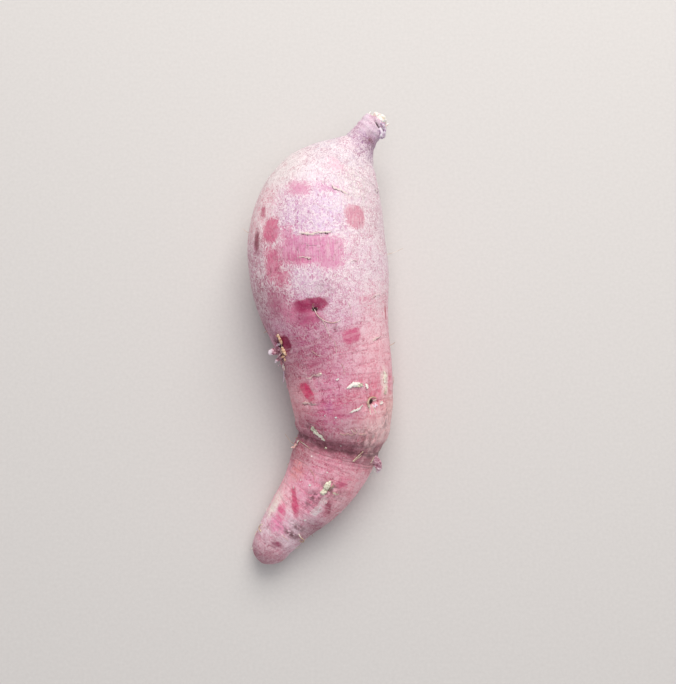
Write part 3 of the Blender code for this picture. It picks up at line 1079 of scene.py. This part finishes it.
# Stub skin: thin cork, wrinkled as it dried, which looks dull pink with pale ridges. The broken tip
# shows the flesh.
stub_finish, tree, shader, skin_tone, wrinkle = mottled(
    "root_stub_skin",
    ((800, 3),),
    "a05c74",
    ((0, 0.36, 0.62, 1.0, "e8bac8"),),
    roughness=0.72,
    bump=(0.7, 0.2),
    fade="LINEAR",
)
tip = add(tree, "ShaderNodeAttribute", attribute_name="tip").outputs["Fac"]
tip_edge = add(tree, "ShaderNodeMath", {0: wrinkle, 1: 0.6, 2: tip}, operation="MULTIPLY_ADD")
is_tip = add(tree, "ShaderNodeMapRange", {"Value": tip_edge.outputs[0], 1: 0.95, 2: 1.15})
sockets = {0: is_tip.outputs[0], 6: skin_tone, 7: rgba("f6e6f0")}
tint = add(tree, "ShaderNodeMix", sockets, data_type="RGBA").outputs[2]
tree.links.new(tint, shader.inputs["Base Color"])


def stub(name, places, radii, seed):
    """A stubby side root: a ball drawn out along places in mm, with a radius at each, uneven and
    blunt at both ends. It keeps how near each point is to the tip."""
    places = [Vector(p) for p in places]
    bm = bmesh.new()
    bmesh.ops.create_icosphere(bm, subdivisions=5, radius=1)
    nearness = []
    for vert in bm.verts:
        way = vert.co.copy()
        share = (way.z + 1) / 2 * (len(places) - 1)
        i = min(int(share), len(places) - 2)
        before, after = places[max(i - 1, 0)], places[min(i + 2, len(places) - 1)]
        heading = (places[i + 1] - places[i]).lerp(after - before, 0.4).normalized()
        radius = radii[i] + (radii[i + 1] - radii[i]) * (share - i)
        spoke = Vector((way.x, way.y, 0)) * (way.x**2 + way.y**2 + 1e-9) ** -0.30
        bump_place = Vector((way.x * 1.6, way.y * 1.6, share * 1.3 + seed))
        uneven = 1 + 0.30 * noise.noise(bump_place) + 0.16 * noise.noise(bump_place * 3.2)
        spoke = heading.to_track_quat("Z", "Y") @ (spoke * radius * uneven)
        vert.co = (places[i].lerp(places[i + 1], share - i) + spoke) * MM
        nearness.append(share / (len(places) - 1))
    bmesh.ops.recalc_face_normals(bm, faces=bm.faces)
    mesh = to_mesh(bm, name)
    store(mesh, "tip", np.array(nearness))
    return as_piece(name, mesh, stub_finish)


stub(
    "root_nub_at_fold",
    (
        (21.4, -49.0, 21.0),
        (23.4, -50.8, 21.0),
        (24.8, -53.0, 20.0),
        (25.4, -55.4, 18.8),
        (24.8, -57.4, 17.8),
    ),
    (1.5, 1.6, 1.7, 1.4, 0.7),
    4.0,
)
stub(
    "torn_stub_on_flank",
    (
        on_skin(-16.5, -4.8, -1.0),
        on_skin(-18.0, -5.4, 0.6),
        (-20.0, -6.2, 33.5),
        (-21.6, -7.0, 33.0),
    ),
    (1.5, 1.4, 1.4, 0.9),
    9.0,
)
stub(
    "torn_stub_below",
    (
        on_skin(-15.6, -8.0, -0.8),
        on_skin(-16.6, -8.6, 0.8),
        (-18.4, -9.6, 30.4),
        (-19.0, -10.8, 29.8),
    ),
    (0.8, 0.6, 0.6, 0.4),
    2.0,
)
stub(
    "root_nub_under_stem",
    (
        off_skin(150, 118, -1.0),
        off_skin(150, 118, 0.6),
        off_skin(149, 119, 1.8),
        off_skin(147, 120, 2.6),
    ),
    (1.4, 1.1, 0.9, 0.5),
    6.0,
)


# ==== Peeled skin =================================================================================
# Papery flakes of the outer cork that have lifted and curled, about a tenth of a millimetre thick:
# a few lie over the body, and a ragged tuft of them edges the torn hollow in the left flank.

FLAKE_THICK = 0.12

# Peeled cork: dry and papery, which looks matt and pale, with brown veins and worn white spots.
# Each flake has a tint of its own; the arched flake's rib is tinted grey-green as painted shade.
flake_finish, *_ = mottled(
    "papery_peeled_cork",
    ((650, 3), (260, 2)),
    None,
    (
        (1, 0.44, 0.32, 0.45, "a58a80"),
        (0, 0.42, 0.30, 0.40, "9a7d70"),
        (0, 0.56, 0.66, 0.60, "fffdf8"),
    ),
    roughness=0.75,
    bump=(0.6, 0.1),
)


def ways_on(normal, turn):
    """Three ways for what lies on the skin, which faces along the normal: its length, at this many
    degrees in plan, its width, and off the skin."""
    way = Vector((math.cos(math.radians(turn)), math.sin(math.radians(turn)), 0))
    way = (way - normal * way.dot(normal)).normalized()
    return way, normal.cross(way), normal


def flake(name, middle, turn, long, wide, arch, rise, curl, tint, seed, bow=0.0):
    """One flake: its middle on the skin in mm, the plan direction of its length in degrees, its
    length and width, how far it arches, how far its far end stands off, how its edges curl, and how
    far its middle bows to one side."""
    place, normal, _, _ = skin_tree.find_nearest(Vector(middle))
    way, over, _ = ways_on(normal, turn)
    bm = bmesh.new()
    bmesh.ops.create_grid(bm, x_segments=30, y_segments=8, size=1.0)
    for vert in bm.verts:
        u, v = vert.co.x, vert.co.y
        ragged = noise.noise(Vector((u * 2.2, v, seed)))
        ragged += 0.8 * noise.noise(Vector((u * 7.0, v, seed + 5)))
        half = wide / 2 * max((1 - abs(u) ** 2.4) ** 0.6, 0.2) * (1 + 0.7 * ragged)
        along = long / 2 * u * (1 + 0.10 * noise.noise(Vector((v * 2.0, seed, 0))))
        bend = bow * (1 - u * u) + 0.36 * wide * noise.noise(Vector((u * 1.5, 0, seed + 9)))
        free = place + way * along + over * (v * half + bend)
        spot, up, _, _ = skin_tree.find_nearest(free)
        lift = 0.06 + arch * (1 - u * u) + rise * ((u + 1) / 2) ** 2 + curl * v * v
        lift += 0.10 * noise.noise(Vector((u * 3, v * 2, seed + 3)))
        share = min(rise / 3, 1) * ((u + 1) / 2)
        vert.co = (spot.lerp(free, share) + up * max(lift, 0.03)) * MM
    bm.normal_update()
    lifts = {v: v.normal.copy() for v in bm.verts}
    made = bmesh.ops.extrude_face_region(bm, geom=bm.faces[:], use_keep_orig=True)
    for vert in (g for g in made["geom"] if isinstance(g, bmesh.types.BMVert)):
        nearest_lift = min(vert.link_edges, key=lambda e: e.calc_length()).other_vert(vert)
        vert.co += lifts.get(nearest_lift, Vector((0, 0, 1))) * FLAKE_THICK * MM
    bmesh.ops.recalc_face_normals(bm, faces=bm.faces)
    mesh = to_mesh(bm, name)
    store(mesh, "tint", np.tile(linear(tint) + [1.0], (len(mesh.vertices), 1)))
    return as_piece(name, mesh, flake_finish)


# The flakes over the body and the tail: x, y in plan, direction, length, width, arch, rise, curl
# and tint. Three of them bow to one side.
bows = {"arched_flake": 1.1, "long_scale_on_right": -0.6, "green_tinged_chip": 0.4}
for name, x, y, turn, long, wide, arch, rise, curl, tint in (
    ("arched_flake", 14.8, -21.8, 6, 7.6, 1.7, 0.7, 0.0, -0.3, "f6f1ea"),
    ("arched_flake_end", 19.4, -21.0, -60, 2.4, 1.2, 0.3, 0.4, 0.2, "f8f5ee"),
    # The rib's grey-green tint is painted shade in the flake's arched middle.
    ("arched_flake_shaded_rib", 16.2, -20.8, 20, 3.4, 1.3, 0.5, 0.3, 0.2, "cdc9ae"),
    ("crossed_sliver", 14.4, -31.1, 18, 4.2, 0.9, 0.3, 0.2, 0.0, "f6f1e8"),
    ("crossed_sliver_over", 16.6, -30.0, 42, 3.8, 0.7, 0.5, 0.3, 0.0, "fbf8f2"),
    ("long_scale_on_right", 27.2, -17.0, 94, 5.0, 2.2, 0.0, 0.0, 0.0, "f4e8d8"),
    ("scale_on_right_low", 27.7, -22.4, 88, 3.6, 1.6, 0.0, 0.0, 0.0, "efe0cc"),
    ("green_tinged_chip", 0.0, -41.4, -50, 6.2, 1.7, 0.2, 0.3, 0.1, "f3f0de"),
    ("green_tinged_chip_top", -2.2, -39.0, -62, 3.4, 2.2, 0.1, 0.0, 0.2, "cfcfba"),
    ("scrap_by_hook", 23.2, -29.0, 20, 1.9, 1.2, 0.2, 0.2, 0.1, "f2dcec"),
    ("scrap_by_hook_far", 25.8, -27.8, 10, 2.2, 1.2, 0.1, 0.2, 0.1, "f4e4de"),
    ("speck_above_body", 7.5, -18.4, 40, 1.6, 0.9, 0.2, 0.2, 0.1, "f7f0ee"),
    ("speck_on_body", 6.9, -34.0, 10, 0.9, 0.8, 0.1, 0.1, 0.1, "ffffff"),
    ("speck_by_patch", 2.4, -33.2, 70, 1.0, 0.6, 0.1, 0.1, 0.1, "f3e2e8"),
    ("speck_on_tail_a", -4.0, -62.1, 20, 1.2, 0.8, 0.1, 0.1, 0.1, "fbf3f0"),
    ("speck_on_tail_b", -6.3, -76.9, 20, 1.3, 0.8, 0.1, 0.2, 0.1, "fbf3f0"),
    ("speck_on_tail_c", -10.9, -63.3, -50, 1.4, 0.5, 0.1, 0.1, 0.1, "f3dfe2"),
    ("speck_on_tail_d", 2.8, -69.6, 60, 1.2, 0.5, 0.1, 0.1, 0.1, "f3dfe2"),
    ("twig_by_chip_a", 4.9, -63.0, 62, 3.4, 0.7, 0.6, 0.2, 0.0, "a98c7c"),
    ("twig_by_chip_b", 6.6, -65.6, -36, 3.0, 0.8, 0.5, 0.2, 0.0, "d9cbb8"),
    ("scale_on_tail_edge", 7.6, -73.8, -20, 2.4, 1.2, 0.2, 1.0, 0.1, "ecc4cc"),
):
    seed, bow = 0.37 * x + 0.61 * y, bows.get(name, 0.0)
    flake(name, on_skin(x, y), turn, long, wide, arch, rise, curl, tint, seed, bow)

# Splinters of the torn root's woody base, still fast in the hollow on the left flank. Torn wood
# looks tan, with red-brown splits between pale fibres.
wood_finish, *_ = mottled(
    "torn_root_wood",
    ((900, 3),),
    "e6bc98",
    ((0, 0.48, 0.34, 0.85, "8c4c48"), (0, 0.52, 0.64, 0.80, "f8e6d2")),
    roughness=0.7,
    bump=(0.8, 0.2),
)
for number, (x, y, z, turn, radii, off) in enumerate(
    (
        (-17.6, -1.8, 37, 100, (2.3, 1.0, 0.5), 0.6),
        (-16.4, -5.8, 36, 55, (1.4, 0.5, 0.4), 0.6),
        (-15.0, -6.4, 36, 118, (2.0, 0.7, 0.5), 0.6),
        (-15.9, -8.8, 35, 20, (0.9, 0.5, 0.4), 0.5),
        (-14.4, -9.6, 34, 60, (0.6, 0.5, 0.3), 0.3),
    )
):
    place, normal, _, _ = skin_tree.find_nearest(Vector((x, y, z)))
    name, middle, seed = f"torn_root_splinter_{number + 1}", place + normal * off, 2.3 * number + 1
    lump(name, middle, ways_on(normal, turn), radii, 0.8, seed, wood_finish, 4)

# The tuft on the left flank: x, y, z near the skin, plan direction, length, width, rise, colour.
for number, (x, y, z, turn, long, wide, rise, tint) in enumerate(
    (
        (-18.2, -1.8, 36, 95, 4.6, 1.9, 1.0, "eabf96"),
        (-17.8, -1.6, 35, 250, 3.2, 1.1, 1.0, "b06a74"),
        (-16.4, -4.6, 34, 290, 4.0, 1.4, 1.2, "f2d8bc"),
        (-15.2, -7.2, 33, 280, 3.4, 1.1, 0.9, "d9a08c"),
        (-15.0, -9.6, 32, 300, 3.0, 1.0, 1.1, "b8707c"),
        (-16.8, -3.0, 33, 200, 3.0, 1.2, 2.2, "dcc0d2"),
        (-14.0, -11.4, 31, 285, 2.0, 1.1, 0.8, "fbf0ea"),
        (-16.6, -7.0, 31, 230, 3.2, 1.2, 2.2, "d8a9b8"),
        (-15.6, -10.6, 30, 240, 2.6, 1.0, 1.8, "e3c2cf"),
        (-15.4, -16.4, 29, 265, 4.8, 1.4, 1.7, "e6cfe4"),
        (-13.6, -20.0, 29, 275, 3.0, 0.8, 0.9, "e0b7c4"),
        (-13.6, -12.6, 31, 250, 2.0, 0.8, 0.6, "f2e6dc"),
        (-10.8, -45.6, 23, 205, 3.0, 1.6, 1.6, "e0b3ac"),
        (-9.6, -44.4, 24, 20, 2.6, 0.9, 0.6, "ecd9cf"),
    )
):
    name, seed = f"flank_flake_{number + 1}", 3.1 * number
    flake(name, (x, y, z), turn, long, wide, 0.1, rise, 0.15, tint, seed)

# More scales on the flanks and underneath, but none where the root rests on the table.
LOWEST_SCALE = 2.0
scales = random.Random(33)
for number in range(12):
    spot = off_skin(scales.uniform(18, 165), scales.uniform(85, 275))
    long, wide = scales.uniform(2.0, 5.5), scales.uniform(0.9, 1.8)
    turn, rise = scales.uniform(0, 360), scales.uniform(0.0, 0.5)
    tint = scales.choice(("efe2d2", "e6cdc6", "f4ede4", "d9b9b4"))
    if spot.z > LOWEST_SCALE:
        name, seed = f"lower_scale_{number + 1}", 1.7 * number
        flake(name, spot, turn, long, wide, 0.1, rise, 0.1, tint, seed)


# ==== Straws and grit =============================================================================
# Bits that cling to the root from the field and the sack: cut straws by the fold and at the tail's
# left edge, and crumbs of pale grit in soil on the tail, in the fold and by a scar.

STRAW_THICK = 0.45

# Dry straw: a waxy stem wall, which looks tan with pale lengths and has a slight gloss.
straw_finish, *_ = mottled(
    "dry_straw",
    ((1500, 2),),
    "c3a487",
    ((0, 0.38, 0.62, 1.0, "f4e6cf"),),
    roughness=0.45,
    fade="LINEAR",
)
routes = []
for marks, size in (
    (((13.8, -52.0, 0.5), (15.8, -49.6, 1.0), (17.9, -47.2, 1.4)), 1.0),
    (((14.2, -52.3, 0.4), (16.2, -50.4, 0.7), (17.4, -49.2, 0.9)), 0.7),
    (((21.4, -52.8, 0.4), (21.9, -51.2, 0.8), (22.4, -49.6, 1.2)), 0.8),
    (((-25.4, -82.6, 0.3), (-26.6, -81.0, 1.2), (-27.0, -78.8, 2.0)), 1.4),
):
    routes.append(([on_skin(*mark) for mark in marks], size, 0.8))
tubes("cut_straws", routes, STRAW_THICK, straw_finish)

# Limestone grit: broken mineral grains, which look chalky, cream to grey.
grit_finish, *_ = mottled(
    "pale_limestone_grit",
    ((1100, 3),),
    "efe8d2",
    ((0, 0.46, 0.32, 0.7, "a09478"), (0, 0.56, 0.70, 0.8, "fffcf0")),
    roughness=0.85,
    bump=(0.8, 0.15),
)
for name, x, y, turn, radii, rough, seed in (
    ("grit_on_tail", 3.2, -62.6, 70, (2.3, 1.2, 0.8), 0.9, 2.0),
    ("grit_on_tail_small", 1.7, -64.8, 40, (1.5, 1.1, 0.6), 0.9, 6.0),
    ("crumb_in_fold", 2.6, -46.6, 10, (0.5, 0.4, 0.3), 0.8, 4.0),
    ("crumb_by_scar", 0.6, -16.2, 10, (0.45, 0.35, 0.3), 0.8, 1.0),
):
    place, normal = skin_under(x, y)
    middle, ways = place + normal * 0.3 * radii[2], ways_on(normal, turn)
    lump(name, middle, ways, radii, rough, seed, grit_finish, 4)


# ==== The table ===================================================================================
# A plain board, painted pale and matt, that the root lies on. It is the stage and not a part of the
# object, and it sits a hair below the root's flat spot.

bm = bmesh.new()
bmesh.ops.create_grid(bm, x_segments=1, y_segments=1, size=2.0)
bmesh.ops.translate(bm, verts=bm.verts, vec=(0, 0, -0.02 * MM))
table = new_object("table", to_mesh(bm, "table"))
# Matt paint: evenly pale, with a faint grain.
table_finish, *_ = mottled(
    "pale_matt_paint", ((700, 2),), "d2cfcd", ((0, 0.0, 1.0, 1.0, "dedbd9"),), 0.85, fade="LINEAR"
)
table.data.materials.append(table_finish)


# ==== The light ===================================================================================
# Soft studio light: a wide window beyond the stem and a little to the right, a weaker panel
# overhead, and a pale room.


def soft_light(name, place, size, watts, colour):
    """A square studio light that faces the root."""
    lamp = bpy.data.lights.new(name, "AREA")
    lamp.size, lamp.energy, lamp.color = size, watts, linear(colour)
    holder = new_object(name, lamp)
    holder.location = place
    towards = Vector((0, 0, 0.02)) - Vector(place)
    holder.rotation_euler = towards.to_track_quat("-Z", "Y").to_euler()


soft_light("window", (0.16, 0.75, 0.85), 0.8, 10.6, "fffaf4")
soft_light("overhead", (0.15, 0.0, 1.3), 0.9, 4.0, "ffffff")
world = bpy.data.worlds.new("room")
bpy.context.scene.world = world
world.use_nodes = True
room = world.node_tree.nodes["Background"]
room.inputs["Color"].default_value = rgba("f4f4f8")
room.inputs["Strength"].default_value = 0.36
bpy.context.scene.view_settings.view_transform = "Standard"


# ==== The camera ==================================================================================
# It looks almost straight down from half a metre above the table, tilted a little towards the stem,
# through a lens slightly longer than normal. Nothing is out of focus.

CAMERA_TILT = 5.4
CAMERA_PLACE = Vector((7.74, -43.58, 472.36))
camera_data = bpy.data.cameras.new("camera")
camera_data.lens = 55
camera_data.sensor_width = 36
camera_data.clip_start = 0.01
camera = new_object("camera", camera_data)
camera.location = CAMERA_PLACE * MM
camera.rotation_euler = (math.radians(CAMERA_TILT), 0, 0)
bpy.context.scene.camera = camera
